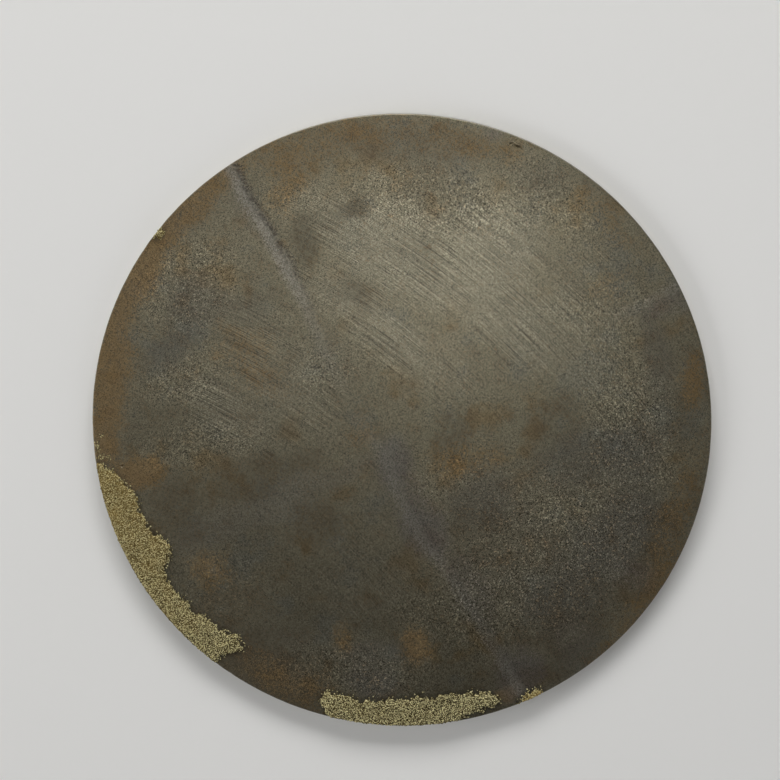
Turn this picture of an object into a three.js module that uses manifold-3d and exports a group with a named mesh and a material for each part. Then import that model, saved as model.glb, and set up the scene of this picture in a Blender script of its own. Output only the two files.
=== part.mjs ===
// Ancient cast-bronze mirror, lying face up on its back rim.
// Millimetres, +Z up. The origin is under the middle of the disc, on the plane the back rim rests on.
import * as THREE from 'three';
import { mergeVertices } from 'three/addons/utils/BufferGeometryUtils.js';
import Module from 'manifold-3d';

const wasm = await Module();
wasm.setup();

// The disc and its polished face
const discRadius = 90;
const edgeHeight = 4;           // resting plane to the edge of the face
const faceRise = 3.7;           // how far the middle of the convex face stands above its edge
const fieldThickness = 2.2;     // the metal between the face and the plain back
const edgeRounding = 0.3;       // wear on both corners of the side wall

// The raised rim on the back, which the mirror rests on
const rimWidth = 9;
const rimSlope = 1.5;           // run of the rim's inner slope

// The raised rings on the back: one thin line in the field, and the seat round the knob
const backRings = [
  { radius: 17, halfWidth: 1, height: 0.7 },
  { radius: 53, halfWidth: 1.1, height: 0.9 },
];

// The pierced knob in the middle of the back
const knobRadius = 12.5;
const knobClearance = 0.35;     // the knob's crest stays this far above the resting plane
const cordHoleWidth = 5.5;
const cordHoleHeight = 3.2;

// The two patches of corrosion crust along the edge of the face
const crustThickness = 0.5;
const crusts = [
  { fromDeg: 187, toDeg: 235, reach: 10.5 },
  { fromDeg: 253, toDeg: 290, reach: 8.5 },
];

// How finely the round forms are faceted
const turnSegments = 96;
const knobSegments = 48;
const knobRings = 6;
const holeSegments = 8;

// Distance in from the edge of each ring of points across the face, closest where the crust lies
const faceRings = [0, 2.5, 5.5, 8.5, 11.5, 15, 24, 40, 56, 73];

const sphereRadius = (discRadius ** 2 + faceRise ** 2) / (2 * faceRise);

function faceHeight(radius) {
  const drop = sphereRadius - Math.sqrt(sphereRadius ** 2 - radius ** 2);
  return edgeHeight + faceRise - drop;
}

function backHeight(radius) {
  return faceHeight(radius) - fieldThickness;
}

// A low round-topped ring standing down from the back, as profile points from its inner to its outer foot
function ringProfile({ radius, halfWidth, height }) {
  return [-1, -0.55, 0.55, 1].map((across) => {
    const r = radius + across * halfWidth;
    const stand = Math.abs(across) < 1 ? height : 0;
    return new THREE.Vector2(r, backHeight(r) - stand);
  });
}

// The section of the disc, from the middle of the back, out round the rim and in across the face
function discProfile() {
  const innerRim = discRadius - rimWidth;
  const points = [new THREE.Vector2(0, backHeight(0))];
  for (const ring of backRings) points.push(...ringProfile(ring));
  for (const radius of [66, innerRim - rimSlope]) {
    points.push(new THREE.Vector2(radius, backHeight(radius)));
  }
  points.push(new THREE.Vector2(innerRim, 0));
  points.push(new THREE.Vector2(discRadius - edgeRounding, 0));
  points.push(new THREE.Vector2(discRadius, edgeRounding));
  points.push(new THREE.Vector2(discRadius, edgeHeight - edgeRounding));
  for (const inset of faceRings) {
    const radius = discRadius - Math.max(inset, edgeRounding);
    points.push(new THREE.Vector2(radius, faceHeight(radius)));
  }
  points.push(new THREE.Vector2(0, faceHeight(0)));
  return points;
}

// Thickness of the crust at a place on the face: full in a patch, nothing outside, thin along the edge
function crustAt(x, y) {
  const inset = discRadius - Math.hypot(x, y);
  const angle = THREE.MathUtils.euclideanModulo(THREE.MathUtils.radToDeg(Math.atan2(y, x)), 360);
  for (const { fromDeg, toDeg, reach } of crusts) {
    if (angle < fromDeg || angle > toDeg || inset > reach) continue;
    return inset < 1 ? crustThickness / 2 : crustThickness;
  }
  return 0;
}

// Turns a lathed profile upright, so that its axis is +Z
function lathe(profile, segments) {
  return new THREE.LatheGeometry(profile, segments).rotateX(Math.PI / 2);
}

function makeDisc() {
  const geometry = lathe(discProfile(), turnSegments);
  const position = geometry.attributes.position;
  for (let i = 0; i < position.count; i += 1) {
    const x = position.getX(i);
    const y = position.getY(i);
    const z = position.getZ(i);
    const onFace = z > faceHeight(Math.hypot(x, y)) - 0.01;
    if (onFace) position.setZ(i, z + crustAt(x, y));
  }
  return geometry;
}

// A low dome standing down from the back, sunk a little into the field so that the two join
function makeKnob() {
  const seat = backHeight(0);
  const sunk = fieldThickness / 2;
  const height = seat - knobClearance;
  const points = [new THREE.Vector2(0, knobClearance)];
  for (let i = 1; i <= knobRings; i += 1) {
    const turn = (i / knobRings) * (Math.PI / 2);
    points.push(new THREE.Vector2(knobRadius * Math.sin(turn), seat - height * Math.cos(turn)));
  }
  points.push(new THREE.Vector2(knobRadius, seat + sunk));
  points.push(new THREE.Vector2(0, seat + sunk));
  return lathe(points, knobSegments);
}

// The cord's way through the knob along X: an arch whose straight side lies on the back of the field
function makeCordHole() {
  const top = backHeight(knobRadius);
  const half = cordHoleWidth / 2;
  const arch = new THREE.Shape();
  arch.moveTo(-half, top);
  arch.absellipse(0, top, half, cordHoleHeight, Math.PI, 2 * Math.PI, false, 0);
  arch.closePath();
  const length = 4 * knobRadius;
  const options = { depth: length, bevelEnabled: false, curveSegments: holeSegments };
  const geometry = new THREE.ExtrudeGeometry(arch, options);
  return geometry.translate(0, 0, -length / 2).rotateX(Math.PI / 2).rotateZ(Math.PI / 2);
}

function toSolid(geometry) {
  const bare = geometry.clone();
  bare.deleteAttribute('normal');
  bare.deleteAttribute('uv');
  const merged = mergeVertices(bare, 1e-4);
  const vertProperties = new Float32Array(merged.attributes.position.array);
  const triVerts = new Uint32Array(merged.index.array);
  return new wasm.Manifold(new wasm.Mesh({ numProp: 3, vertProperties, triVerts }));
}

function toGeometry(solid) {
  const { vertProperties, triVerts } = solid.getMesh();
  const geometry = new THREE.BufferGeometry();
  geometry.setAttribute('position', new THREE.BufferAttribute(vertProperties, 3));
  geometry.setIndex(new THREE.BufferAttribute(triVerts, 1));
  geometry.computeVertexNormals();
  return geometry;
}

function makeMirror() {
  const piercedKnob = toSolid(makeKnob()).subtract(toSolid(makeCordHole()));
  const solid = toSolid(makeDisc()).add(piercedKnob);
  const bronze = new THREE.MeshStandardMaterial({ color: 0x5f5a4b, roughness: 0.5, metalness: 0.85 });
  const mesh = new THREE.Mesh(toGeometry(solid), bronze);
  mesh.name = 'mirror';
  return mesh;
}

const ancientMirror = new THREE.Group();
ancientMirror.add(makeMirror());

export default ancientMirror;
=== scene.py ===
# An ancient bronze mirror lying face up: a worn, patinated disc of high-tin bronze,
# broken and mended long ago, with corrosion crust along its edge.
import math
import bpy
import bmesh
import numpy as np
from mathutils import Matrix, Vector


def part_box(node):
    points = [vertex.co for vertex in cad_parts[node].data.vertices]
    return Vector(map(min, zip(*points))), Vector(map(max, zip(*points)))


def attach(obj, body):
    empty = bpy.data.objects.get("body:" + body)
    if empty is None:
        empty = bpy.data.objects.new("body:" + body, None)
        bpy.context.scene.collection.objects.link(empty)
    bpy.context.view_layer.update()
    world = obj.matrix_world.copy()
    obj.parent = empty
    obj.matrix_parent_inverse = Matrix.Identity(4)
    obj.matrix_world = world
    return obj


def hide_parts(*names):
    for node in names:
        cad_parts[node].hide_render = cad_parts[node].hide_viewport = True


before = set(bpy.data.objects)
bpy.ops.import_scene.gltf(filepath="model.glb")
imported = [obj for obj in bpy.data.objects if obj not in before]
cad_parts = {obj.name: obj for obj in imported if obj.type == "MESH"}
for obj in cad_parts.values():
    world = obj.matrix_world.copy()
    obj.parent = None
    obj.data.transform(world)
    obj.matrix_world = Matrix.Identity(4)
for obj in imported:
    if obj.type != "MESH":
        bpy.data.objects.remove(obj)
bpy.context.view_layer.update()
mirrorLow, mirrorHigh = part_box("mirror")
mm = 0.001

discRadius = (mirrorHigh.x - mirrorLow.x) / 2 / mm  # shapes are worked out in millimetres
faceTop = mirrorHigh.z / mm


# ---- colours, nodes, noise and meshes ----

def linear(hexColour):
    # sRGB hex to the linear colour that shaders take
    channels = [int(hexColour[i:i + 2], 16) / 255 for i in (1, 3, 5)]
    return tuple(c / 12.92 if c <= 0.04045 else ((c + 0.055) / 1.055) ** 2.4 for c in channels) + (1.0,)


def addNode(tree, kind, inputs=None, **settings):
    # inputs go by number, identifier or name: a node or its output is linked, anything else is set
    node = tree.nodes.new(kind)
    for name, value in settings.items():
        setattr(node, name, value)
    for key, value in (inputs or {}).items():
        if isinstance(key, int):
            socket = node.inputs[key]
        else:
            socket = next(s for s in node.inputs if s.enabled and key in (s.identifier, s.name))
        if isinstance(value, bpy.types.Node):
            value = next(s for s in value.outputs if s.enabled)
        if isinstance(value, bpy.types.NodeSocket):
            tree.links.new(value, socket)
        else:
            socket.default_value = value
    return node


def smoothStep(low, high, value):
    t = np.clip((value - low) / (high - low), 0, 1)
    return t * t * (3 - 2 * t)


class LatticeNoise:
    # smooth value noise between -1 and 1, the same every run
    def __init__(self, seed):
        self.table = np.random.default_rng(seed).uniform(-1, 1, (256, 256))

    def __call__(self, x, y, size, octaves=3):
        total, weight, norm = 0.0, 1.0, 0.0
        for octave in range(octaves):
            u = x / size * 2 ** octave + 37.3 * octave
            v = y / size * 2 ** octave + 91.7 * octave
            column, row = np.floor(u).astype(int), np.floor(v).astype(int)
            s, t = smoothStep(0, 1, u - column), smoothStep(0, 1, v - row)
            near, far = row % 256, (row + 1) % 256
            left, right = column % 256, (column + 1) % 256
            low = self.table[near, left] * (1 - s) + self.table[near, right] * s
            high = self.table[far, left] * (1 - s) + self.table[far, right] * s
            total = total + weight * (low * (1 - t) + high * t)
            norm += weight
            weight *= 0.5
        return total / norm


def makeMesh(name, points, faces):
    mesh = bpy.data.meshes.new(name)
    mesh.from_pydata((np.asarray(points) * mm).tolist(), [], faces)
    mesh.validate()
    piece = bpy.data.objects.new(name, mesh)
    bpy.context.scene.collection.objects.link(piece)
    return piece


def addField(piece, name, values):
    field = piece.data.attributes.new(name, "FLOAT", "POINT")
    field.data.foreach_set("value", np.ascontiguousarray(values, np.float32))


def pointsOf(piece):
    flat = np.empty(len(piece.data.vertices) * 3, np.float32)
    piece.data.vertices.foreach_get("co", flat)
    return flat.reshape(-1, 3).astype(float) / mm


def outwards(piece):
    mesh = bmesh.new()
    mesh.from_mesh(piece.data)
    bmesh.ops.recalc_face_normals(mesh, faces=mesh.faces)
    mesh.to_mesh(piece.data)
    mesh.free()


def bakeModifiers(piece):
    # leaves the piece as the plain mesh that its modifiers make
    result = bpy.data.meshes.new_from_object(piece.evaluated_get(bpy.context.evaluated_depsgraph_get()))
    piece.modifiers.clear()
    piece.data = result


def combine(piece, other, operation):
    step = piece.modifiers.new(operation, "BOOLEAN")
    step.operation, step.object, step.solver = operation, other, "EXACT"
    bakeModifiers(piece)
    bpy.data.objects.remove(other)


def newTree(name, sockets):
    # an empty geometry tree with its named inputs
    tree = bpy.data.node_groups.new(name, "GeometryNodeTree")
    for label, kind in sockets.items():
        tree.interface.new_socket(label, in_out="INPUT", socket_type="NodeSocket" + kind)
    tree.interface.new_socket("Result", in_out="OUTPUT", socket_type="NodeSocketGeometry")
    return tree, addNode(tree, "NodeGroupInput").outputs


def finishTree(tree, geometry, material):
    real = addNode(tree, "GeometryNodeRealizeInstances", {"Geometry": geometry})
    finished = addNode(tree, "GeometryNodeSetMaterial", {"Geometry": real, "Material": material})
    addNode(tree, "NodeGroupOutput", {"Result": finished})


def runTree(piece, tree, **values):
    step = piece.modifiers.new(tree.name, "NODES")
    step.node_group = tree
    for item in tree.interface.items_tree:
        if item.in_out == "INPUT" and item.name in values:
            step[item.identifier] = values[item.name]
    bakeModifiers(piece)


# ---- camera, lights and floor ----

view = {
    "leanDeg": 9.5,              # the line of sight leans this far from straight down
    "leanTowards": (0.243, 0.970),
    "lens": 120,
    "spanMm": 226.6,             # what the picture takes in at the mirror
    "aimMm": (-3.0, 10.3),       # the picture's middle, from the mirror's middle
}

lights = {                       # place in metres, width and depth, watts
    "overheadSoftbox": ((0.03, 0.05, 1.30), (0.22, 0.16), 1.35),
    "leftOverhead": ((-0.45, 0.10, 1.20), (0.4, 0.4), 0.5),
    "leftBank": ((-1.45, -0.25, 0.85), (1.1, 0.8), 7.2),
    "rightBank": ((1.45, 0.0, 0.85), (1.1, 0.8), 1.5),
    "farBank": ((0.0, 1.60, 0.80), (1.6, 0.6), 26.0),
    "nearBank": ((0.0, -1.60, 0.80), (1.6, 0.6), 0.7),
}

surround = {                     # a pale room under a dark ceiling
    "colour": "#f1f2f4",
    "horizon": 0.63,
    "zenith": 0.05,
    "darkAbove": 0.75,           # the sine of the height where it is darkest
    "floor": "#f2f1ee",
}


def makeCamera():
    lean = math.radians(view["leanDeg"])
    towards = Vector((*view["leanTowards"], 0)) * math.sin(lean) + Vector((0, 0, math.cos(lean)))
    data = bpy.data.cameras.new("camera")
    data.lens = view["lens"]
    data.dof.use_dof = False
    camera = bpy.data.objects.new("camera", data)
    bpy.context.scene.collection.objects.link(camera)
    middle = Vector((0, 0, faceTop / 2 * mm))
    place = middle + towards * (view["spanMm"] * mm * data.lens / data.sensor_width)
    sight = (middle + Vector((*view["aimMm"], 0)) * mm - place).normalized()
    right = sight.cross(Vector((0, 1, 0))).normalized()
    turn = Matrix((right, right.cross(sight), -sight)).transposed()
    camera.matrix_world = Matrix.Translation(place) @ turn.to_4x4()
    bpy.context.scene.camera = camera


def makeLights():
    for name, (place, size, watts) in lights.items():
        data = bpy.data.lights.new(name, "AREA")
        data.shape = "RECTANGLE"
        data.size, data.size_y = size
        data.energy = watts
        lamp = bpy.data.objects.new(name, data)
        lamp.location = place
        lamp.rotation_euler = (-Vector(place)).to_track_quat("-Z", "Y").to_euler()
        bpy.context.scene.collection.objects.link(lamp)


def makeSurround():
    world = bpy.data.worlds.new("studio")
    world.use_nodes = True
    tree = world.node_tree
    tree.nodes.clear()
    heading = addNode(tree, "ShaderNodeTexCoord").outputs["Generated"]
    upward = addNode(tree, "ShaderNodeSeparateXYZ", {"Vector": heading}).outputs["Z"]
    glow = addNode(tree, "ShaderNodeMapRange", {
        "Value": upward, "From Min": 0.0, "From Max": surround["darkAbove"],
        "To Min": surround["horizon"], "To Max": surround["zenith"]}, interpolation_type="SMOOTHSTEP")
    air = addNode(tree, "ShaderNodeBackground", {"Color": linear(surround["colour"]), "Strength": glow})
    addNode(tree, "ShaderNodeOutputWorld", {"Surface": air})
    bpy.context.scene.world = world
    bpy.context.scene.view_settings.view_transform = "Standard"


def makeFloor():
    paper = bpy.data.materials.new("pale_matt_card")  # background card: an even pale ground with no shine
    paper.use_nodes = True
    card = paper.node_tree.nodes["Principled BSDF"]
    card.inputs["Base Color"].default_value = linear(surround["floor"])
    card.inputs["Roughness"].default_value = 0.9
    card.inputs["Specular IOR Level"].default_value = 0.2
    reach = 4000
    corners = [(-reach, -reach, 0), (reach, -reach, 0), (reach, reach, 0), (-reach, reach, 0)]
    floor = makeMesh("floor", corners, [(0, 1, 2, 3)])
    floor.data.materials.append(paper)


makeCamera()
makeLights()
makeSurround()
makeFloor()
print("camera, lights and floor are in place")


# ---- where everything lies on the face, in millimetres from its middle ----

# A mended break runs right across the disc, and two more meet it. Each is a path over the face, with how
# strongly its filler shows at each point.
breaks = {
    "upperLeft": [(-48.6, 75.8, 1.0), (-45.2, 69.5, 1.0), (-40.6, 62.2, 1.0), (-36.6, 55.2, 0.95),
                  (-32.4, 48.2, 0.85), (-27.2, 38.0, 0.6), (-21.6, 25.0, 0.3), (-14.0, 8.0, 0.12),
                  (-4.6, -6.2, 0.3)],
    "lowerRight": [(-4.6, -6.2, 0.3), (5.5, -29.7, 0.55), (18.6, -47.4, 0.4), (28.8, -65.1, 0.5),
                   (37.0, -78.0, 0.7)],
    "right": [(83.0, 41.0, 0.7), (69.4, 34.0, 0.4), (56.0, 28.4, 0.08)],
}

# Soft patches: x, y, half length, half width, turn in degrees, strength
patches = {
    "rust": [
        (-62, 63, 26, 6, 44, 0.8), (-77, 44, 24, 6, 62, 0.9), (-85, 15, 24, 6.5, 85, 0.85),
        (-86, -8, 12, 5, 95, 0.7), (-76, -15, 7, 5, 30, 1.0), (-25, 82, 20, 6, 14, 0.45),
        (-32, 70, 10, 6, 60, 0.5), (5, 84, 22, 6, -3, 0.35), (28, 79, 12, 3.5, -22, 0.35),
        (84, 14, 9, 3.5, 90, 0.8), (72, -52, 26, 5, 52, 0.5), (80, -25, 25, 4.5, 70, 0.4),
        (-30, -80, 14, 6, -20, 0.35), (-43, -72, 10, 5, -38, 0.35), (5, -66, 5, 6, 20, 0.8),
        (-17, -63, 4, 5, 10, 0.5), (-56, -42, 6, 7, 40, 0.55), (33, -79, 6, 3, 28, 0.8),
        (-42, 18, 16, 8, -40, 0.35), (14, -11, 5, 5, 0, 0.45), (58, 60, 14, 4, -48, 0.35),
        (-10, -2, 5, 5, 0, 0.35), (60, 41, 7, 5, 60, 0.3), (22, -8, 9, 6, 20, 0.35),
    ],
    "brown": [
        (-26, 55, 3.5, 9, 12, 0.5), (-13, 64, 6, 3, 20, 0.55), (-13, 40, 5, 4, 10, 0.35),
        (7, 50, 6, 8, 0, 0.12), (-25, -29, 9, 9, 45, 0.65), (-44, -16, 13, 7, 25, 0.55),
        (-28, -11, 8, 4, 20, 0.45), (-66, -24, 10, 13, 25, 0.55), (16, -5, 7, 8, 0, 0.5),
        (9, 71, 12, 6, 0, 0.3), (-38, -75, 22, 9, -28, 1.0), (76, -36, 22, 6, 65, 0.7),
        (84, 8, 14, 5, 85, 0.5), (-56, 74, 8, 5, 0, 0.3), (-50, -55, 14, 12, 30, 0.5),
        (-12, -52, 10, 8, 20, 0.15), (43, 3, 9, 6, 20, 0.35), (20, -35, 16, 10, 30, 0.35),
        (45, -60, 20, 9, 40, 0.5),
    ],
    "charcoal": [
        (-20, 17, 8, 8, 40, 0.25), (75, 21, 5, 14, 6, 0.55), (0, 82, 26, 7, 0, 0.4),
        (40, 72, 10, 6, -30, 0.35), (55, -9, 18, 10, 12, 0.6), (64, -32, 18, 12, 50, 0.85),
        (48, -52, 14, 11, 30, 0.7), (-8, -76, 9, 6, 0, 0.9), (-13, -68, 8, 4, 20, 0.5),
        (13, 66, 14, 9, 5, 0.2), (-66, 21, 9, 5, 30, 0.5), (-60, 36, 9, 11, 0, 0.55),
        (-45, 35, 9, 6, 20, 0.35), (52, -70, 14, 6, 40, 0.5), (24, -20, 12, 10, 0, 0.6),
        (33, -37, 20, 16, 0, 0.35), (-5, -66, 10, 5, 0, 0.5), (70, -5, 14, 8, 60, 0.4),
        (0, -20, 9, 12, 20, 0.3), (-35, -66, 16, 8, 0, 0.35), (57, 70, 10, 4, -45, 0.3),
    ],
    # paler places, partly real polish and partly a painted highlight where the lamp's reflection falls
    "polishAndHighlight": [
        (-2, 51, 20, 12, -25, 0.85), (28, 53, 13, 13, -38, 1.0), (24, 38, 30, 12, -38, 0.7),
        (-8, 30, 24, 6, -38, 0.7), (-38, 24, 22, 10, -38, 0.45), (-52, 3, 15, 9, -38, 0.55),
        (-42, 8, 18, 16, -38, 0.35), (-10, -45, 18, 12, 20, 0.3), (-30, 7, 16, 8, -38, 0.4),
        (45, 26, 20, 13, -30, 0.4), (62, 9, 15, 12, 0, 0.3), (6, 20, 22, 9, -35, 0.35),
        (-22, 62, 10, 8, 0, 0.35), (52, 44, 12, 12, 0, 0.25),
    ],
    "lilac": [
        (-2, -9, 5, 8, 0, 0.75), (7, -31, 7, 8, 30, 0.9), (3, -20, 7, 8, 10, 0.4),
        (20, -48, 6, 14, 28, 0.45), (35, -73, 8, 9, 20, 0.75), (79, 36, 10, 4, 24, 0.5),
        (68, -44, 7, 6, 0, 0.4), (50, -63, 7, 7, 0, 0.35), (-44, 62, 4, 10, 30, 0.35),
        (27, 86, 4, 3, 0, 0.5),
    ],
    "smear": [  # filler rubbed smooth over a break that runs to the lower left
        (-20, -15, 20, 3.2, 24, 0.55), (-38, -25, 16, 5.5, 20, 0.75), (-55, -31, 14, 6, 26, 0.7),
        (-32, -20, 9, 3, 40, 0.6),
    ],
    "flecked": [  # where the skin is pitted and its high spots show pale, partly bare metal and partly tiny painted highlights
        (42, -38, 34, 24, 35, 1.0), (68, -2, 14, 26, 10, 0.8), (62, 34, 12, 10, 0, 0.4),
        (-60, 40, 16, 12, 50, 0.7), (-62, 14, 14, 8, 20, 0.6), (10, 66, 26, 9, -6, 0.75),
        (-14, -72, 24, 9, -4, 0.9), (-20, 17, 9, 7, 30, 0.5), (-58, -6, 16, 8, 15, 0.6),
        (18, -14, 14, 9, 20, 0.5), (-52, -48, 14, 12, 30, 0.4), (12, -56, 14, 10, 0, 0.5),
        (44, 66, 16, 7, -40, 0.5), (-32, 66, 10, 6, 20, 0.4),
    ],
}

# The crust's outlines: each point is an angle round the disc in degrees and a distance in from the edge.
crustOutlines = {
    "crust_left": [(187.8, -1), (188.3, 1.8), (190.1, 4.9), (194.4, 9.0), (198.2, 9.1), (201.8, 10.0),
                   (204.4, 10.8), (207.6, 13.2), (209.8, 12.4), (211.3, 8.9), (213.2, 7.0), (217.2, 6.6),
                   (220.3, 7.6), (222.6, 6.3), (224.9, 8.6), (228.7, 8.3), (232.1, 10.4), (235.4, 8.6),
                   (234.6, 5.6), (233.0, 3.2), (232.6, -1)],
    "crust_bottom": [(256.8, -1), (256.0, 1.7), (254.2, 3.9), (254.6, 6.6), (257.7, 7.0), (261.8, 6.1),
                     (265.8, 7.2), (269.8, 7.4), (272.9, 8.8), (276.9, 8.1), (280.0, 8.3), (283.6, 8.4),
                     (286.0, 6.9), (288.9, 5.8), (289.4, 3.2), (286.4, 1.7), (282.0, 1.0), (278.0, -1)],
    "crust_sliver": [(293.4, -1), (293.8, 0.9), (295.6, 1.9), (297.6, 1.3), (298.0, -1)],
    "crust_speck": [(139.8, -1), (140.4, 1.0), (141.8, 1.3), (142.6, -1)],
}


def outlineDistance(outline, angle, inset):
    # millimetres inside an outline, below zero outside it, on the disc rolled out flat along its edge
    along = np.radians(angle) * discRadius
    corners = np.array([(math.radians(a) * discRadius, i) for a, i in outline])
    nearest = np.full(along.shape, 1e9)
    inside = np.zeros(along.shape, bool)
    for (x0, y0), (x1, y1) in zip(corners, np.roll(corners, -1, 0)):
        reach = (along - x0) * (x1 - x0) + (inset - y0) * (y1 - y0)
        share = np.clip(reach / ((x1 - x0) ** 2 + (y1 - y0) ** 2), 0, 1)
        gap = np.hypot(along - x0 - share * (x1 - x0), inset - y0 - share * (y1 - y0))
        nearest = np.minimum(nearest, gap)
        crosses = (y0 > inset) != (y1 > inset)
        slope = (x1 - x0) / (y1 - y0) if y1 != y0 else 0.0
        inside ^= crosses & (along < x0 + (inset - y0) * slope)
    return np.where(inside, nearest, -nearest)


def polar(x, y):
    return np.degrees(np.arctan2(y, x)) % 360, discRadius - np.hypot(x, y)


ragged, scallops = LatticeNoise(11), LatticeNoise(12)


def insideCrust(name, x, y):
    # the outline with its edge broken into bays a few millimetres long and scallops under one
    angle, inset = polar(x, y)
    ragging = 1.0 * ragged(x, y, 2.4, 2) + 0.8 * scallops(x, y, 0.85, 2)
    return outlineDistance(crustOutlines[name], angle, inset) + ragging


def patchField(kind, x, y, seed):
    drift = LatticeNoise(seed)
    u = x + 3.0 * drift(x, y, 14) + 1.0 * drift(x + 200, y, 3.5)
    v = y + 3.0 * drift(x, y + 300, 14) + 1.0 * drift(x + 500, y, 3.5)
    field = np.zeros_like(x)
    for cx, cy, halfLength, halfWidth, turnDeg, strength in patches[kind]:
        turn = math.radians(turnDeg)
        along = ((u - cx) * math.cos(turn) + (v - cy) * math.sin(turn)) / halfLength
        across = ((v - cy) * math.cos(turn) - (u - cx) * math.sin(turn)) / halfWidth
        patch = strength * (1 - smoothStep(0.35, 1.5, np.hypot(along, across)))
        field = field + patch * (1 - field)
    return field


def breakField(x, y):
    # nearest break: signed distance from its line, and how strongly it shows there
    wander = LatticeNoise(21)
    u, v = x + 0.7 * wander(x, y, 6), y + 0.7 * wander(x + 90, y, 6)
    nearest, side, strength = np.full(x.shape, 1e9), np.zeros_like(x), np.zeros_like(x)
    for path in breaks.values():
        for (x0, y0, s0), (x1, y1, s1) in zip(path, path[1:]):
            length = math.hypot(x1 - x0, y1 - y0)
            share = np.clip(((u - x0) * (x1 - x0) + (v - y0) * (y1 - y0)) / length ** 2, 0, 1)
            distance = np.hypot(u - x0 - share * (x1 - x0), v - y0 - share * (y1 - y0))
            closer = distance < nearest
            nearest = np.where(closer, distance, nearest)
            across = ((x1 - x0) * (v - y0) - (y1 - y0) * (u - x0)) / length
            side = np.where(closer, np.sign(across), side)
            strength = np.where(closer, s0 + (s1 - s0) * share, strength)
    return nearest * side, strength


# ---- the mirror's body ----

body = {
    "edgeHeight": 4.0,           # resting plane to the face's edge
    "fieldThickness": 2.2,
    "rimWidth": 9.0,
    "rimSlope": 1.5,
    "edgeRounding": 0.3,
    # radius, half width, height of the thin rings on the back
    "ridges": [(17.0, 1.0, 0.7), (53.0, 1.1, 0.9)],
    "sectors": 600,
    "faceSteps": (0.7, 1.25),    # between rings of points, on the outer part of the face and further in
    "fineBand": 16.0,            # how far in from the edge the closer rings go
    "eroded": 0.3,               # metal lost from the side wall under the crust
    "faceWaves": (0.035, 17),    # height and length of the face's slow waves
    "castGrain": (0.05, 2.6),    # the back's cast skin: fine grain, then broad unevenness
    "castSwell": (0.04, 11),
    "grooveDepth": 0.07,         # how far the mended break has sunk, and half its width
    "grooveHalfWidth": 1.1,
    # the break's strength at which the groove starts, and where it is at its full depth
    "grooveShows": (0.45, 0.9),
    "faceReliefFrom": (-0.6, -0.2),    # height against the face's surface where its relief comes in
    "faceColourFrom": (-0.75, -0.45),  # the same for its colours, which turn a little way down the edge
    "wavesFadeBy": (0.2, 3.0),   # distances from the edge over which the face's waves come in
    "castSkinFrom": (0.25, 0.8),  # heights over which the back's cast skin comes in above the resting plane
    "castSkinInset": (1.0, 3.0),
    "wallGrain": (0.05, 1.7),
    "wallBand": (1.2, 0.2),      # the side wall's wear fades between these distances from the edge
    "wearUnderCrust": (-0.5, 1.5),
}
knob = {
    "radius": 12.5,
    "clearance": 0.35,           # its crest stays above the resting plane
    "cordHole": (5.5, 3.2),      # width and height of the way through it
    "sectors": 96,
    "rings": 20,
}
faceRise = faceTop - body["edgeHeight"]
sphereRadius = (discRadius ** 2 + faceRise ** 2) / (2 * faceRise)


def faceHeight(radius):
    return faceTop - sphereRadius + np.sqrt(sphereRadius ** 2 - radius ** 2)


def backHeight(radius):
    height = faceHeight(radius) - body["fieldThickness"]
    for middle, halfWidth, tall in body["ridges"]:
        across = np.clip(np.abs(radius - middle) / halfWidth, 0, 1)
        height = height - tall * np.sqrt(1 - across ** 2)
    return height


def bodySection():
    # radius and height of each ring, from the back's middle, round the edge, to the middle of the face
    innerRim = discRadius - body["rimWidth"]
    slopeStart = innerRim - body["rimSlope"]
    ridgeRadii = [middle + halfWidth * np.sin(np.linspace(-1, 1, 7) * math.pi / 2)
                  for middle, halfWidth, tall in body["ridges"]]
    radii = np.unique(np.concatenate([np.linspace(0, slopeStart, 31), *ridgeRadii]))
    section = [(r, backHeight(r)) for r in radii]
    foot = backHeight(slopeStart)
    for share in (0.12, 0.3, 0.7, 0.88, 1.0):   # the rim's inner slope, eased into the field and the flat
        section.append((slopeStart + share * body["rimSlope"], foot * (1 - smoothStep(0, 1, share))))
    section += [(innerRim + share * body["rimWidth"], 0.0) for share in (0.02, 0.2, 0.45, 0.7, 0.9)]
    rounding, tall = body["edgeRounding"], body["edgeHeight"]
    corner = np.radians([0, 30, 60, 90])
    bend = discRadius - rounding
    section += [(bend + rounding * math.sin(t), rounding - rounding * math.cos(t)) for t in corner]
    section += [(discRadius, share * tall) for share in (0.2, 0.35, 0.5, 0.65, 0.8)]
    shoulder = faceHeight(bend) - rounding
    section += [(bend + rounding * math.cos(t), shoulder + rounding * math.sin(t)) for t in corner]
    fine, coarse = body["faceSteps"]
    band = discRadius - body["fineBand"]
    section += [(r, faceHeight(r)) for r in np.arange(bend - fine / 2, band, -fine)]
    section += [(r, faceHeight(r)) for r in np.arange(band, coarse / 2, -coarse)]
    return section + [(0, faceTop)]


def knobSection():
    # a low dome under the field, closed by a flat buried in the metal
    seat = faceTop - body["fieldThickness"]
    turns = np.linspace(0, math.pi / 2, knob["rings"] + 1)
    dome = [(knob["radius"] * math.sin(t), seat - (seat - knob["clearance"]) * math.cos(t)) for t in turns]
    buried = seat + body["fieldThickness"] / 2
    return dome + [(knob["radius"], buried), (0, buried)]


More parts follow.
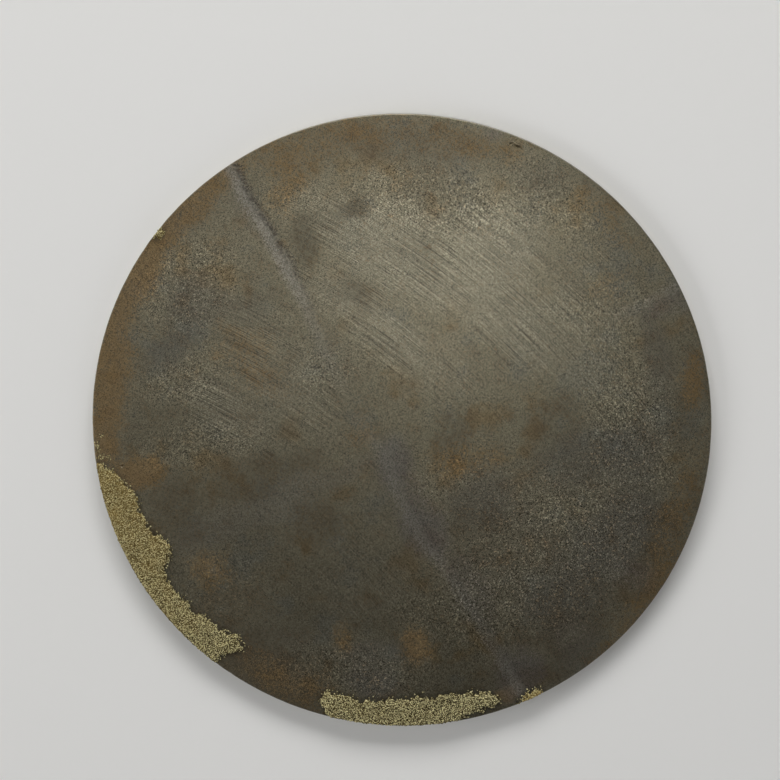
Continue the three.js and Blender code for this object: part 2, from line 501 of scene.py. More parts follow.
def makeTurningTree():
    # carries a section once round Z: one row of a grid's points stands at each of its stations
    tree, given = newTree("turned_casting", {
        "Section": "Geometry", "Sectors": "Int", "Join Within": "Float", "Material": "Material"})
    stations = addNode(tree, "GeometryNodeAttributeDomainSize", {"Geometry": given["Section"]})
    around = addNode(tree, "FunctionNodeIntegerMath", {0: given["Sectors"], 1: 1}, operation="ADD")
    grid = addNode(tree, "GeometryNodeMeshGrid", {
        "Vertices X": stations.outputs["Point Count"], "Vertices Y": around})
    index = addNode(tree, "GeometryNodeInputIndex")
    station = addNode(tree, "FunctionNodeIntegerMath", {0: index, 1: around}, operation="DIVIDE_FLOOR")
    sector = addNode(tree, "FunctionNodeIntegerMath", {0: index, 1: around}, operation="MODULO")
    share = addNode(tree, "ShaderNodeMath", {0: sector, 1: given["Sectors"]}, operation="DIVIDE")
    turn = addNode(tree, "ShaderNodeMath", {0: share, 1: 2 * math.pi}, operation="MULTIPLY")
    point = addNode(tree, "GeometryNodeSampleIndex", {
        "Geometry": given["Section"], "Value": addNode(tree, "GeometryNodeInputPosition"), "Index": station},
        data_type="FLOAT_VECTOR")
    turned = addNode(tree, "ShaderNodeVectorRotate", {"Vector": point, "Angle": turn}, rotation_type="Z_AXIS")
    placed = addNode(tree, "GeometryNodeSetPosition", {"Geometry": grid.outputs["Mesh"], "Position": turned})
    closed = addNode(tree, "GeometryNodeMergeByDistance",
                     {"Geometry": placed, "Distance": given["Join Within"]})
    finishTree(tree, closed, given["Material"])
    return tree


def turnSection(name, section, sectors, tree, material):
    piece = makeMesh(name, [(r, 0, z) for r, z in section], [])
    runTree(piece, tree, **{"Sectors": sectors, "Join Within": 0.001 * mm, "Material": material})
    outwards(piece)
    return piece


def makeCordHole():
    # an arched bar along X, which cuts the way through the knob
    width, tall = knob["cordHole"]
    top = backHeight(knob["radius"]) + 0.02
    arch = [(width / 2 * math.cos(t), top - tall * math.sin(t)) for t in np.linspace(0, math.pi, 25)]
    reach = 1.6 * knob["radius"]
    count = len(arch)
    points = [(x, y, z) for x in (-reach, reach) for y, z in arch]
    sides = [(i, (i + 1) % count, count + (i + 1) % count, count + i) for i in range(count)]
    hole = makeMesh("cordHole", points, sides + [tuple(range(count)), tuple(range(count, 2 * count))])
    outwards(hole)
    return hole


# Small losses cut into the metal: place, radii along, across and down, turn in degrees.
losses = {
    "pits": [(31.6, 81.6, 0.75, 0.5, 0.45, 20), (33.9, 80.5, 0.95, 0.6, 0.5, -30),
             (32.9, 82.6, 0.4, 0.3, 0.3, 60), (-7.3, 1.8, 0.24, 1.1, 0.3, 8),
             (-85.2, 1.4, 0.35, 0.3, 0.25, 0), (-84.0, 4.6, 0.25, 0.22, 0.2, 30),
             (-86.4, 4.2, 0.22, 0.2, 0.2, 0), (-81.4, -12.6, 0.6, 0.45, 0.35, 40),
             (-83.2, -11.4, 0.45, 0.3, 0.3, 70)],
    "edgeNicks": 34,             # scattered along the face's edge
    "nickSize": (0.18, 0.5),
    "seed": 5,
}


def addLump(mesh, place, radii, turnDeg, rng):
    # a small uneven stone shape, as a cutter
    turn = Matrix.Translation(Vector(place) * mm) @ Matrix.Rotation(math.radians(turnDeg), 4, "Z")
    made = bmesh.ops.create_icosphere(mesh, subdivisions=2, radius=1.0)
    for vert in made["verts"]:
        swell = 1 + rng.uniform(-0.16, 0.16)
        vert.co = turn @ (Vector([c * r * swell * mm for c, r in zip(vert.co, radii)]))


def makeLosses():
    rng = np.random.default_rng(losses["seed"])
    mesh = bmesh.new()
    for x, y, along, across, deep, turnDeg in losses["pits"]:
        addLump(mesh, (x, y, faceHeight(math.hypot(x, y))), (along, across, deep), turnDeg, rng)
    step = 360 / losses["edgeNicks"]
    for i in range(losses["edgeNicks"]):   # one somewhere in each equal share of the edge, so none meet
        angle = (i + rng.uniform(0.2, 0.8)) * step
        turn = math.radians(angle)
        size = rng.uniform(*losses["nickSize"])
        r = discRadius + 0.25 * size
        place = (r * math.cos(turn), r * math.sin(turn), body["edgeHeight"] - rng.uniform(0, 0.2))
        addLump(mesh, place, (size, size * rng.uniform(1.0, 2.4), size * 0.9), angle, rng)
    cutter = bpy.data.objects.new("losses", bpy.data.meshes.new("losses"))
    mesh.to_mesh(cutter.data)
    mesh.free()
    bpy.context.scene.collection.objects.link(cutter)
    outwards(cutter)
    return cutter


def crustDepth(x, y):
    return np.max([insideCrust(name, x, y) for name in crustOutlines], 0)


def weather(piece):
    # low relief: the face's slow waves, the break's groove, the cast back, and metal lost under the crust
    points = pointsOf(piece)
    x, y, z = points.T
    radius = np.hypot(x, y)
    wave, cast = LatticeNoise(31), LatticeNoise(32)
    onFace = smoothStep(*body["faceReliefFrom"], z - faceHeight(np.minimum(radius, discRadius)))
    inner = smoothStep(*body["wavesFadeBy"], discRadius - radius)
    across, strength = breakField(x, y)
    sunk = strength * smoothStep(*body["grooveShows"], strength)
    groove = body["grooveDepth"] * sunk * np.exp(-((across - 0.2) / body["grooveHalfWidth"]) ** 2)
    waveHeight, waveLength = body["faceWaves"]
    face = inner * waveHeight * (wave(x, y, waveLength) - 1) - groove
    recess = smoothStep(*body["castSkinFrom"], z) * (1 - onFace)
    recess = recess * smoothStep(*body["castSkinInset"], discRadius - radius)
    grain, grainSize = body["castGrain"]
    swell, swellSize = body["castSwell"]
    castRelief = grain * cast(x, y, grainSize, 3) + swell * cast(x, y, swellSize)
    points[:, 2] += onFace * face + recess * castRelief
    wallGrain, wallGrainSize = body["wallGrain"]
    eroded = body["eroded"] * smoothStep(*body["wearUnderCrust"], crustDepth(x, y))
    eroded = eroded + wallGrain * (1 + cast(x + z * 3, y, wallGrainSize, 2))
    nearWall = smoothStep(*body["wallBand"], discRadius - radius)
    points[:, :2] *= (1 - eroded * nearWall / np.maximum(radius, 1))[:, None]
    piece.data.vertices.foreach_set("co", np.ascontiguousarray(points * mm, np.float32).ravel())
    piece.data.update()


def addSurfaceFields(piece):
    # what the materials read: where each patch, the break and the crust lie
    x, y, z = pointsOf(piece).T
    radius = np.hypot(x, y)
    onFace = smoothStep(*body["faceColourFrom"], z - faceHeight(np.minimum(radius, discRadius)))
    across, strength = breakField(x, y)
    fields = {kind: patchField(kind, x, y, seed) * onFace for seed, kind in enumerate(patches, 41)}
    fields.update(onFace=onFace, fromEdge=discRadius - radius, breakAcross=across,
                  breakStrength=strength * onFace, crustReach=crustDepth(x, y))
    for name, values in fields.items():
        addField(piece, name, values)


def makeMirror(material):
    turning = makeTurningTree()
    piece = turnSection("mirror_body", bodySection(), body["sectors"], turning, material)
    weather(piece)
    dome = turnSection("knob", knobSection(), knob["sectors"], turning, material)
    combine(dome, makeCordHole(), "DIFFERENCE")
    combine(piece, dome, "UNION")
    combine(piece, makeLosses(), "DIFFERENCE")
    addSurfaceFields(piece)
    piece.data.materials.clear()   # the cut places take the body's own finish
    piece.data.materials.append(material)
    piece.data.shade_smooth()
    piece.data.set_sharp_from_angle(angle=math.radians(50))
    return piece


# ---- the corrosion crust ----

crust = {
    "cell": 0.23,                # spacing of the points on the crust's skin
    "thickness": 0.3,
    "lumps": (0.16, 3.4),        # height and size of each kind of relief
    "grains": (0.14, 0.8),
    "fineGrains": (0.06, 0.44),
    "pits": (0.2, 1.1),
    "wallReach": 1.3,            # how far the crust hangs down the side wall
    "wallThickness": 0.22,
    "sunk": 0.45,                # its underside lies this far inside the metal
    "crumbsPerMm2": 5.5,
    "looseCrumbsPerMm2": 2.4,
    "looseWithin": 1.6,          # how far from the crust loose crumbs lie
    "crumbRadius": (0.13, 0.32),
    "rises": (-0.15, 0.55),      # how far inside its outline it starts, and where it has its full height
    "tone": (0.1, 0.25, 0.15, -0.4, 0.1),  # flat skin, then what grains, fine grains, pits and lumps add: the tone follows the relief, grain tops painted pale as highlight, pits painted dark, partly dirt and partly shade
    "seed": 8,
    "warmth": {                  # from ochre 1 to khaki 0, at each outline's first and last angle
        "crust_left": (1.0, 0.25), "crust_bottom": (0.3, 0.15), "crust_sliver": (1.0, 1.0),
        "crust_speck": (0.6, 0.6),
    },
}

# Loose crumbs also lie here: x, y, radius, how thickly
looseSpots = [(-88.6, -6.8, 1.0, 1.0), (-88.0, -9.7, 1.4, 1.0), (-85.4, -9.7, 0.9, 0.8),
              (-87.4, -3.6, 0.8, 0.4)]


def cellBumps(x, y, size, seed):
    # rounded bumps round scattered points, 1 at a bump's top and 0 between bumps
    jitter = np.random.default_rng(seed).uniform(0.1, 0.9, (2, 256, 256))
    u, v = x / size, y / size
    column, row = np.floor(u).astype(int), np.floor(v).astype(int)
    nearest = np.full(x.shape, 9.0)
    for a in (-1, 0, 1):
        for b in (-1, 0, 1):
            c, r = (column + a) % 256, (row + b) % 256
            gap = np.hypot(column + a + jitter[0, r, c] - u, row + b + jitter[1, r, c] - v)
            nearest = np.minimum(nearest, gap)
    return 1 - np.clip(nearest / 0.85, 0, 1) ** 2


def edgeSurface(angle, along):
    # a place on the disc's skin: along runs in from the middle of the rounded edge, below zero down the wall
    rounding = body["edgeRounding"]
    half = rounding * math.pi / 4
    bend = discRadius - rounding - np.maximum(along - half, 0)
    corner = np.clip((along + half) / (2 * half), 0, 1) * math.pi / 2
    out, up = np.cos(corner), np.sin(corner)
    r = bend + (rounding - body["eroded"]) * out
    z = faceHeight(np.minimum(bend, discRadius)) - rounding + rounding * up + np.minimum(along + half, 0)
    return r, z, out, up


def around(angle, r, z):
    turn = np.radians(angle)
    return np.stack([r * np.cos(turn), r * np.sin(turn), z], -1)


def makeCrustSkin(name):
    outline = crustOutlines[name]
    angles = [a for a, inset in outline]
    cell = crust["cell"]
    columns = np.arange(min(angles) - 1.5, max(angles) + 1.5, math.degrees(cell / discRadius))
    rows = np.arange(-crust["wallReach"], max(inset for a, inset in outline) + 1.8, cell)
    angle, along = np.meshgrid(columns, rows)
    r, z, out, up = edgeSurface(angle, along)
    x, y = around(angle, discRadius - along, 0 * along).transpose(2, 0, 1)[:2]
    depth = insideCrust(name, x, y)
    hang = LatticeNoise(14)(x, y, 1.4, 2)
    depth = np.where(along < 0, np.minimum(depth, 0.8 + along / crust["wallReach"] + 0.5 * hang), depth)

    grains = cellBumps(x, y, crust["grains"][1], crust["seed"])
    fineGrains = cellBumps(x + 50, y, crust["fineGrains"][1], crust["seed"] + 1)
    lumps = LatticeNoise(15)(x, y, crust["lumps"][1], 2)
    pits = smoothStep(0.35, 0.6, LatticeNoise(16)(x, y, crust["pits"][1], 2))
    relief = crust["thickness"] + crust["lumps"][0] * lumps + crust["grains"][0] * grains
    relief = relief + crust["fineGrains"][0] * fineGrains - crust["pits"][0] * pits
    rise = smoothStep(*crust["rises"], depth)
    height = rise * relief - 0.12 * (1 - rise)
    wall = np.clip(out * 1.2, 0, 1)
    height = height * (1 - wall) + np.minimum(height * 0.6, crust["wallThickness"]) * wall
    kept = depth > -0.45
    kept[0, :] = kept[-1, :] = kept[:, 0] = kept[:, -1] = False
    top = around(angle, r + height * out, z + height * up)
    low = around(angle, r - crust["sunk"] * out, z - crust["sunk"] * up)
    warmth = np.interp(angle, (min(angles), max(angles)), crust["warmth"][name])
    skinTone, *shares = crust["tone"]
    # the tone follows the relief: grain tops painted pale as highlight, pits painted dark, partly dirt and
    # partly shade
    tone = skinTone + sum(share * part for share, part in zip(shares, (grains, fineGrains, pits, lumps)))
    return gridShell(name, top, low, kept, {
        "tone": np.clip(tone, 0, 1),
        "warmth": warmth,
        "crumbShare": smoothStep(-0.4, 0.1, depth) * (1 - wall),
    })


def gridShell(name, top, low, kept, fields):
    # closes the kept cells of a grid of points into a shell, with its underside below
    cells = kept[:-1, :-1] & kept[1:, :-1] & kept[:-1, 1:] & kept[1:, 1:]
    index = np.arange(kept.size).reshape(kept.shape)
    corners = np.stack([index[:-1, :-1], index[:-1, 1:], index[1:, 1:], index[1:, :-1]], -1)[cells].tolist()
    faces = [tuple(f) for f in corners] + [tuple(v + kept.size for v in f[::-1]) for f in corners]
    rim = {}
    for f in corners:
        for edge in zip(f, f[1:] + f[:1]):
            if edge[::-1] in rim:
                del rim[edge[::-1]]
            else:
                rim[edge] = True
    faces += [(q, p, p + kept.size, q + kept.size) for p, q in rim]
    points = np.concatenate([top.reshape(-1, 3), low.reshape(-1, 3)])
    used = np.unique(np.array([v for f in faces for v in f]))
    renumber = np.full(len(points), -1)
    renumber[used] = np.arange(len(used))
    piece = makeMesh(name, points[used], [tuple(renumber[list(f)].tolist()) for f in faces])
    for field, values in fields.items():
        under = 0 * values if field == "crumbShare" else values
        addField(piece, field, np.concatenate([values.ravel(), under.ravel()])[used])
    outwards(piece)
    return piece


def makeCrumbTree():
    # crumbs lie over a skin as thickly as its crumbShare says, each with its own size, turn and tone
    tree, given = newTree("crust_crumbs", {
        "Skin": "Geometry", "Keep Skin": "Bool", "Crumbs Per Square Metre": "Float", "Smallest": "Float",
        "Largest": "Float", "Seed": "Int", "Material": "Material"})
    share = addNode(tree, "GeometryNodeInputNamedAttribute", {"Name": "crumbShare"})
    density = addNode(tree, "ShaderNodeMath", {0: share, 1: given["Crumbs Per Square Metre"]},
                      operation="MULTIPLY")
    spread = addNode(tree, "GeometryNodeDistributePointsOnFaces", {
        "Mesh": given["Skin"], "Density": density, "Seed": given["Seed"]})
    smallest = addNode(tree, "ShaderNodeCombineXYZ", {i: given["Smallest"] for i in range(3)})
    largest = addNode(tree, "ShaderNodeCombineXYZ", {i: given["Largest"] for i in range(3)})
    size = addNode(tree, "FunctionNodeRandomValue", {
        "Min": smallest, "Max": largest, "Seed": given["Seed"]}, data_type="FLOAT_VECTOR")
    turn = addNode(tree, "FunctionNodeRandomValue", {
        "Max": (2 * math.pi,) * 3, "Seed": given["Seed"]}, data_type="FLOAT_VECTOR")
    crumb = addNode(tree, "GeometryNodeMeshIcoSphere", {"Subdivisions": 1})
    placed = addNode(tree, "GeometryNodeInstanceOnPoints", {
        "Points": spread.outputs["Points"], "Instance": crumb.outputs["Mesh"], "Rotation": turn,
        "Scale": size})
    tone = addNode(tree, "FunctionNodeRandomValue", {"Min": 0.3, "Max": 1.0, "Seed": given["Seed"]})
    toned = addNode(tree, "GeometryNodeStoreNamedAttribute", {
        "Geometry": placed, "Name": "tone", "Value": tone}, data_type="FLOAT", domain="INSTANCE")
    skin = addNode(tree, "GeometryNodeSwitch", {"Switch": given["Keep Skin"], "True": given["Skin"]},
                   input_type="GEOMETRY")
    joined = addNode(tree, "GeometryNodeJoinGeometry", {"Geometry": skin})
    tree.links.new(toned.outputs["Geometry"], joined.inputs["Geometry"])
    finishTree(tree, joined, given["Material"])
    return tree


def scatterCrumbs(piece, tree, keepSkin, perMm2, seed, material):
    smallest, largest = crust["crumbRadius"]
    runTree(piece, tree, **{
        "Keep Skin": keepSkin, "Crumbs Per Square Metre": perMm2 / mm ** 2, "Smallest": smallest * mm,
        "Largest": largest * mm, "Seed": seed, "Material": material})


def makeLooseCrumbs(mirror, tree, material):
    # crumbs that have broken off and cling to the face close by
    piece = bpy.data.objects.new("crust_loose_crumbs", mirror.data.copy())
    bpy.context.scene.collection.objects.link(piece)
    x, y, z = pointsOf(piece).T
    reach = crustDepth(x, y)
    share = smoothStep(-crust["looseWithin"], -0.1, reach) ** 2 * smoothStep(0.4, 0.0, reach)
    for spotX, spotY, radius, strength in looseSpots:
        near = smoothStep(radius, 0.3 * radius, np.hypot(x - spotX, y - spotY))
        share = np.maximum(share, 3 * strength * near)
    onFace = smoothStep(-0.2, -0.1, z - faceHeight(np.minimum(np.hypot(x, y), discRadius)))
    addField(piece, "crumbShare", share * onFace)
    addField(piece, "warmth", np.full(len(x), 0.4))
    scatterCrumbs(piece, tree, False, crust["looseCrumbsPerMm2"], crust["seed"] + 9, material)
    return piece


def makeCrusts(mirror, material):
    tree = makeCrumbTree()
    pieces = []
    for seed, name in enumerate(crustOutlines, crust["seed"]):
        piece = makeCrustSkin(name)
        scatterCrumbs(piece, tree, True, crust["crumbsPerMm2"], seed, material)
        pieces.append(piece)
    pieces.append(makeLooseCrumbs(mirror, tree, material))
    return pieces


# ---- materials ----

bronzeLook = {
    "patina": "#7a7461",         # settled olive-brown patina over the tin-rich skin
    "back": "#5e573f",
    # the paler colour of a painted highlight along the edge
    "edgeHighlightColour": "#8f8a78",
    "earth": "#2e2a20",          # dirt caught against the crust
    "layers": {                  # colour, opacity, raggedness and the reach over which each patch comes in
        # a paler olive: polish, partly painted highlight
        "polishAndHighlight": ("#85806e", 1.0, 0.5, (0.0, 1.0)),
        "smear": ("#7c7768", 0.8, 0.35, (0.1, 0.8)),
        "charcoal": ("#4c4b47", 0.65, 1.0, (0.1, 0.9)),
        "brown": ("#4b4130", 0.65, 1.3, (0.15, 0.8)),
        "rust": ("#78603b", 0.7, 0.9, (0.1, 0.9)),
        "lilac": ("#666363", 0.5, 0.6, (0.1, 0.9)),
    },
    # the patina leans from grey to brown in slow drifts: colour, the noise it follows, opacity
    "drifts": [
        ("#706f64", (0.46, 0.30), 0.6),
        ("#7a6848", (0.54, 0.72), 0.6),
    ],
    "grainMm": 0.23,             # the pitted skin's grains, drawn as coarse as they need to be to show
    "fleckMm": 0.34,
    "clumpMm": 0.9,
    "mottleMm": 6.0,
    "driftMm": 12.0,
    "grainSwing": (1.3, 2.4),   # how much grains differ, where the skin is smooth and where it is flecked
    "fleckGain": 1.6,
    "fleckFrom": (1.25, 1.5),   # flecks show where cells and clumps together reach this
    "pitDepth": 0.15,
    "pitFrom": (0.34, 0.46),
    "fray": {"mottle": 0.7, "clumps": 1.2, "grain": 0.8, "shift": -0.95},
    "dirt": (-2.0, 0.5, 0.65),  # millimetres outside and inside the crust's outline, and how strong it gets
    "paintedEdgeHighlight": (0.45, 0.8),        # how far in from the edge a painted highlight lightens it, and how strongly
    # where strokes come in on the polished places with their painted highlight, and how much shows elsewhere
    "rubbedFrom": (0.45, 1.0, 0.1),
    "armCentreMm": (-134, -154, 0),  # polishing strokes are arcs of the polisher's arm about this point
    "strokes": [                 # width and length in millimetres, how much a stroke lightens or darkens
        (0.15, 9.0, 0.45), (0.16, 30.0, 0.5),
    ],
    "metallic": (0.9, 0.7),      # clean skin, stained skin
    "roughness": (0.36, 0.48),
    "bumpMm": 0.02,
}


def newMaterial(name):
    material = bpy.data.materials.new(name)
    material.use_nodes = True
    material.node_tree.nodes.clear()
    return material, material.node_tree


def addRaggedness(tree, grain, clumps, mottle):
    # a signed unevenness that frays the edges of patches
    fray = bronzeLook["fray"]
    total = fray["shift"]
    for pattern, weight in ((mottle, fray["mottle"]), (clumps, fray["clumps"]), (grain, fray["grain"])):
        total = addNode(tree, "ShaderNodeMath", {0: pattern, 1: weight, 2: total}, operation="MULTIPLY_ADD")
    return total


def addPatchColours(tree, colour, field, ragged):
    for name, (hexColour, opacity, raggedness, (low, high)) in bronzeLook["layers"].items():
        frayed = addNode(tree, "ShaderNodeMath", {0: ragged, 1: raggedness, 2: field[name]},
                         operation="MULTIPLY_ADD")
        cover = addNode(tree, "ShaderNodeMapRange", {
            "Value": frayed, "From Min": low, "From Max": high, "To Max": opacity},
            interpolation_type="SMOOTHSTEP")
        colour = addNode(tree, "ShaderNodeMix", {
            "Factor": cover, "A": colour, "B": linear(hexColour)}, data_type="RGBA")
    return colour


# the filled break: pale filler to one side of its line, sunk dark patches to the other
mendLook = {
    "filler": "#858177",
    "sunk": "#47433d",
    "fillerSide": -1.1,
    "sunkSide": 0.8,
    "fillerHalfWidth": 3.1,
    "sunkHalfWidth": 1.6,
    "wander": 2.2,
}


def addMend(tree, colour, field, clumps, ragged):
    look = mendLook
    wobble = addNode(tree, "ShaderNodeMath", {0: ragged, 1: look["wander"]}, operation="MULTIPLY")
    across = addNode(tree, "ShaderNodeMath", {0: field["breakAcross"], 1: wobble}, operation="ADD")
    parts = (("filler", look["fillerSide"], look["fillerHalfWidth"], (0.05, 0.8), 0.75),
             ("sunk", look["sunkSide"], look["sunkHalfWidth"], (0.35, 1.0), 0.8))
    for name, side, halfWidth, (faint, strong), opacity in parts:
        distance = addNode(tree, "ShaderNodeMath", {0: across, 1: side}, operation="SUBTRACT")
        distance = addNode(tree, "ShaderNodeMath", {0: distance}, operation="ABSOLUTE")
        band = addNode(tree, "ShaderNodeMapRange", {
            "Value": distance, "From Min": halfWidth, "From Max": 0.2}, interpolation_type="SMOOTHSTEP")
        shown = addNode(tree, "ShaderNodeMapRange", {
            "Value": field["breakStrength"], "From Min": faint, "From Max": strong, "To Max": opacity})
        cover = addNode(tree, "ShaderNodeMath", {0: band, 1: shown}, operation="MULTIPLY")
        if name == "sunk":
            crumbled = addNode(tree, "ShaderNodeMapRange", {
                "Value": clumps, "From Min": 0.42, "From Max": 0.55, "To Min": 0.1})
            cover = addNode(tree, "ShaderNodeMath", {0: cover, 1: crumbled}, operation="MULTIPLY")
        colour = addNode(tree, "ShaderNodeMix", {"Factor": cover, "A": colour, "B": linear(look[name])},
                         data_type="RGBA")
    return colour


def addStrokes(tree, place, cover):
    # long thin marks in polar places about the polisher's arm, added up into one signed value
    centre = [c * mm for c in bronzeLook["armCentreMm"]]
    fromArm = addNode(tree, "ShaderNodeVectorMath", {0: place, 1: centre}, operation="SUBTRACT")
    reach = addNode(tree, "ShaderNodeVectorMath", {0: fromArm}, operation="LENGTH")
    parts = addNode(tree, "ShaderNodeSeparateXYZ", {"Vector": fromArm}).outputs
    sweep = addNode(tree, "ShaderNodeMath", {0: parts["Y"], 1: parts["X"]}, operation="ARCTAN2")
    armLength = math.hypot(*centre)
    total = 0.0
    for width, length, strength in bronzeLook["strokes"]:
        place = addNode(tree, "ShaderNodeCombineXYZ", {
            "X": addNode(tree, "ShaderNodeMath", {0: reach, 1: 1 / (width * mm)}, operation="MULTIPLY"),
            "Y": addNode(tree, "ShaderNodeMath", {0: sweep, 1: armLength / (length * mm)},
                         operation="MULTIPLY")})
        marks = addNode(tree, "ShaderNodeTexNoise", {
            "Vector": place, "Scale": 1.0, "Detail": 0.0}, noise_dimensions="2D")
        signed = addNode(tree, "ShaderNodeMath", {0: marks, 1: 2 * strength, 2: -strength},
                         operation="MULTIPLY_ADD")
        total = addNode(tree, "ShaderNodeMath", {0: signed, 1: total}, operation="ADD")
    return addNode(tree, "ShaderNodeMath", {0: total, 1: cover}, operation="MULTIPLY")


def makeBronze():
    # high-tin bronze, ground flat and polished: a pale metal dulled to a soft olive sheen, its stains rougher
    look = bronzeLook
    material, tree = newMaterial("high_tin_bronze_worn_patina")
    place = addNode(tree, "ShaderNodeTexCoord").outputs["Object"]
    names = [*patches, "onFace", "fromEdge", "breakAcross", "breakStrength", "crustReach"]
    field = {name: addNode(tree, "ShaderNodeAttribute", attribute_name=name).outputs["Fac"] for name in names}

    grain, flecks = (addNode(tree, "ShaderNodeTexVoronoi", {
        "Vector": place, "Scale": 1 / (look[size] * mm)}).outputs["Color"]
        for size in ("grainMm", "fleckMm"))
    grain = addNode(tree, "ShaderNodeMath", {0: grain, 1: 0.5}, operation="SUBTRACT")
    clumps = addNode(tree, "ShaderNodeTexNoise", {
        "Vector": place, "Scale": 1 / (look["clumpMm"] * mm), "Detail": 3.0})
    mottle = addNode(tree, "ShaderNodeTexNoise", {
        "Vector": place, "Scale": 1 / (look["mottleMm"] * mm), "Detail": 5.0})
    ragged = addRaggedness(tree, grain, clumps, mottle)

    slow = addNode(tree, "ShaderNodeTexNoise", {
        "Vector": place, "Scale": 1 / (look["driftMm"] * mm), "Detail": 4.0})
    colour = linear(look["patina"])
    for hexColour, (low, high), opacity in look["drifts"]:
        frayed = addNode(tree, "ShaderNodeMath", {0: ragged, 1: 0.12, 2: slow}, operation="MULTIPLY_ADD")
        cover = addNode(tree, "ShaderNodeMapRange", {
            "Value": frayed, "From Min": low, "From Max": high, "To Max": opacity},
            interpolation_type="SMOOTHSTEP")
        colour = addNode(tree, "ShaderNodeMix", {
            "Factor": cover, "A": colour, "B": linear(hexColour)}, data_type="RGBA")
    colour = addNode(tree, "ShaderNodeMix", {
        "Factor": field["onFace"], "A": linear(look["back"]), "B": colour}, data_type="RGBA")
    colour = addPatchColours(tree, colour, field, ragged)
    colour = addMend(tree, colour, field, clumps, ragged)
    nearCrust = addNode(tree, "ShaderNodeMath", {0: ragged, 1: 1.5, 2: field["crustReach"]},
                        operation="MULTIPLY_ADD")
    outside, inside, strongest = look["dirt"]
    dirt = addNode(tree, "ShaderNodeMapRange", {
        "Value": nearCrust, "From Min": outside, "From Max": inside, "To Max": strongest},
        interpolation_type="SMOOTHSTEP")
    colour = addNode(tree, "ShaderNodeMix", {"Factor": dirt, "A": colour, "B": linear(look["earth"])},
                     data_type="RGBA")
    # the rounded edge and side wall are painted paler: a painted highlight
    atEdge = addNode(tree, "ShaderNodeMath", {0: ragged, 1: 0.5, 2: field["fromEdge"]},
                     operation="MULTIPLY_ADD")
    width, strongest = look["paintedEdgeHighlight"]
    paintedEdgeHighlight = addNode(tree, "ShaderNodeMapRange", {
        "Value": atEdge, "From Min": width, "From Max": 0.0, "To Max": strongest},
        interpolation_type="SMOOTHSTEP")
    colour = addNode(tree, "ShaderNodeMix", {"Factor": paintedEdgeHighlight, "A": colour, "B": linear(look["edgeHighlightColour"])},
                     data_type="RGBA")

    # grains differ all over, pale flecks on the pitted skin's high spots are partly bare metal and partly
    # tiny painted highlights, strokes show where it was rubbed back
    low, high = look["grainSwing"]
    swing = addNode(tree, "ShaderNodeMapRange", {
        "Value": field["flecked"], "To Min": low, "To Max": high})
    shade = addNode(tree, "ShaderNodeMath", {0: grain, 1: swing, 2: 1.0}, operation="MULTIPLY_ADD")
    low, high = look["fleckFrom"]
    gathered = addNode(tree, "ShaderNodeMath", {0: clumps, 1: 1.2, 2: flecks}, operation="MULTIPLY_ADD")
    fleckAndPaintedGlint = addNode(tree, "ShaderNodeMapRange", {
        "Value": gathered, "From Min": low, "From Max": high, "To Max": look["fleckGain"]})
    fleckAndPaintedGlint = addNode(tree, "ShaderNodeMath", {0: fleckAndPaintedGlint, 1: field["flecked"], 2: 1.0}, operation="MULTIPLY_ADD")
    low, high = look["pitFrom"]
    pitted = addNode(tree, "ShaderNodeMapRange", {
        "Value": clumps, "From Min": low, "From Max": high, "To Min": 1 - look["pitDepth"]})
    low, high, elsewhere = look["rubbedFrom"]
    # strokes gather on the polish and its painted highlight
    rubbed = addNode(tree, "ShaderNodeMath", {0: field["polishAndHighlight"], 1: mottle}, operation="ADD")
    rubbed = addNode(tree, "ShaderNodeMapRange", {
        "Value": rubbed, "From Min": low, "From Max": high, "To Min": elsewhere})
    strokes = addStrokes(tree, place, rubbed)
    streaked = addNode(tree, "ShaderNodeMath", {0: strokes, 1: 1.0}, operation="ADD")
    for factor in (fleckAndPaintedGlint, pitted, streaked):
        shade = addNode(tree, "ShaderNodeMath", {0: shade, 1: factor}, operation="MULTIPLY")
    shaded = addNode(tree, "ShaderNodeVectorMath", {0: colour, "Scale": shade}, operation="SCALE")

    stained = addNode(tree, "ShaderNodeMath", {0: field["rust"], 1: field["brown"]}, operation="MAXIMUM")
    stained = addNode(tree, "ShaderNodeMath", {0: stained, 1: field["charcoal"]}, operation="MAXIMUM")
    clean, dull = look["metallic"]
    metallic = addNode(tree, "ShaderNodeMapRange", {"Value": stained, "To Min": clean, "To Max": dull})
    clean, dull = look["roughness"]
    roughness = addNode(tree, "ShaderNodeMapRange", {"Value": stained, "To Min": clean, "To Max": dull})
    height = addNode(tree, "ShaderNodeMath", {0: strokes, 1: 0.3, 2: grain}, operation="MULTIPLY_ADD")
    bump = addNode(tree, "ShaderNodeBump", {
        "Height": height, "Strength": 0.7, "Distance": look["bumpMm"] * mm})
    shader = addNode(tree, "ShaderNodeBsdfPrincipled", {
        "Base Color": shaded, "Metallic": metallic, "Roughness": roughness, "Normal": bump})
    addNode(tree, "ShaderNodeOutputMaterial", {"Surface": shader})
    return material


crustLook = {
    # from pits to pale grains
    # from dark pits, partly dirt and partly painted shade, to pale grain tops, a painted highlight
    "stops": [(0.15, "#0d0a06"), (0.4, "#544b34"), (0.62, "#938a5f"), (0.92, "#dbd3a2")],
    "ochre": "#9c8449",
    "grainMm": 0.3,
    "driftMm": 5.0,
    "swing": 3.4,                # how far single grains move the tone, paler where the bump stands higher: a painted highlight
    "roughness": 0.92,
    "specular": 0.25,
    "bumpMm": 0.12,
}


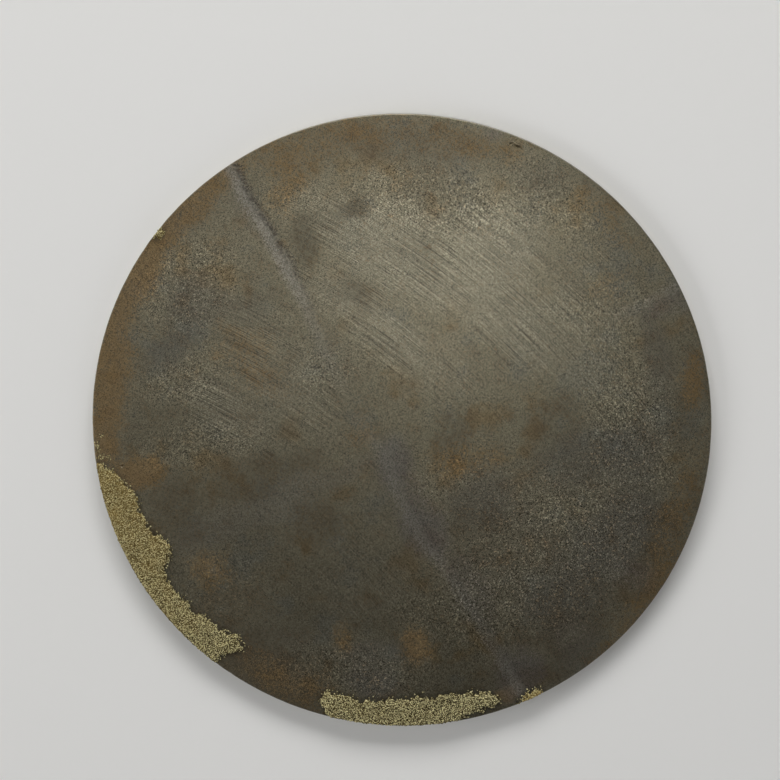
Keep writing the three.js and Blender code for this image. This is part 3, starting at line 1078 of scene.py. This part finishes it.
def makeCrustMaterial():
    # copper corrosion bound with burial earth: quite matt and granular, ochre turning to khaki
    look = crustLook
    material, tree = newMaterial("granular_corrosion_crust")
    place = addNode(tree, "ShaderNodeTexCoord").outputs["Object"]
    tone, warmth = (addNode(tree, "ShaderNodeAttribute", attribute_name=name).outputs["Fac"]
                    for name in ("tone", "warmth"))
    grain = addNode(tree, "ShaderNodeTexNoise", {
        "Vector": place, "Scale": 1 / (look["grainMm"] * mm), "Detail": 0.0})
    drift = addNode(tree, "ShaderNodeTexNoise", {
        "Vector": place, "Scale": 1 / (look["driftMm"] * mm), "Detail": 3.0})
    swing = addNode(tree, "ShaderNodeMath", {0: grain, 1: look["swing"], 2: -look["swing"] / 2},
                    operation="MULTIPLY_ADD")
    value = addNode(tree, "ShaderNodeMath", {0: swing, 1: tone}, operation="ADD")
    ramp = addNode(tree, "ShaderNodeValToRGB", {"Fac": value})
    stops = ramp.color_ramp.elements
    while len(stops) < len(look["stops"]):
        stops.new(1.0)
    for stop, (position, hexColour) in zip(stops, look["stops"]):
        stop.position, stop.color = position, linear(hexColour)
    ochre = addNode(tree, "ShaderNodeMath", {0: drift, 1: warmth}, operation="MULTIPLY")
    tinted = addNode(tree, "ShaderNodeMix", {
        "Factor": ochre, "A": ramp.outputs["Color"], "B": linear(look["ochre"])}, data_type="RGBA")
    bump = addNode(tree, "ShaderNodeBump", {"Height": grain, "Strength": 0.6,
        "Distance": look["bumpMm"] * mm})
    shader = addNode(tree, "ShaderNodeBsdfPrincipled", {
        "Base Color": tinted, "Roughness": look["roughness"],
        "Specular IOR Level": look["specular"], "Normal": bump})
    addNode(tree, "ShaderNodeOutputMaterial", {"Surface": shader})
    return material


# ---- everything put together ----

def countTriangles(piece):
    return sum(len(face.vertices) - 2 for face in piece.data.polygons)


mirror = makeMirror(makeBronze())
print("mirror:", countTriangles(mirror), "triangles")
crusts = makeCrusts(mirror, makeCrustMaterial())
print("crust:", {piece.name: countTriangles(piece) for piece in crusts})

for piece in crusts:
    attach(piece, "root")
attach(mirror, "root")
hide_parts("mirror")
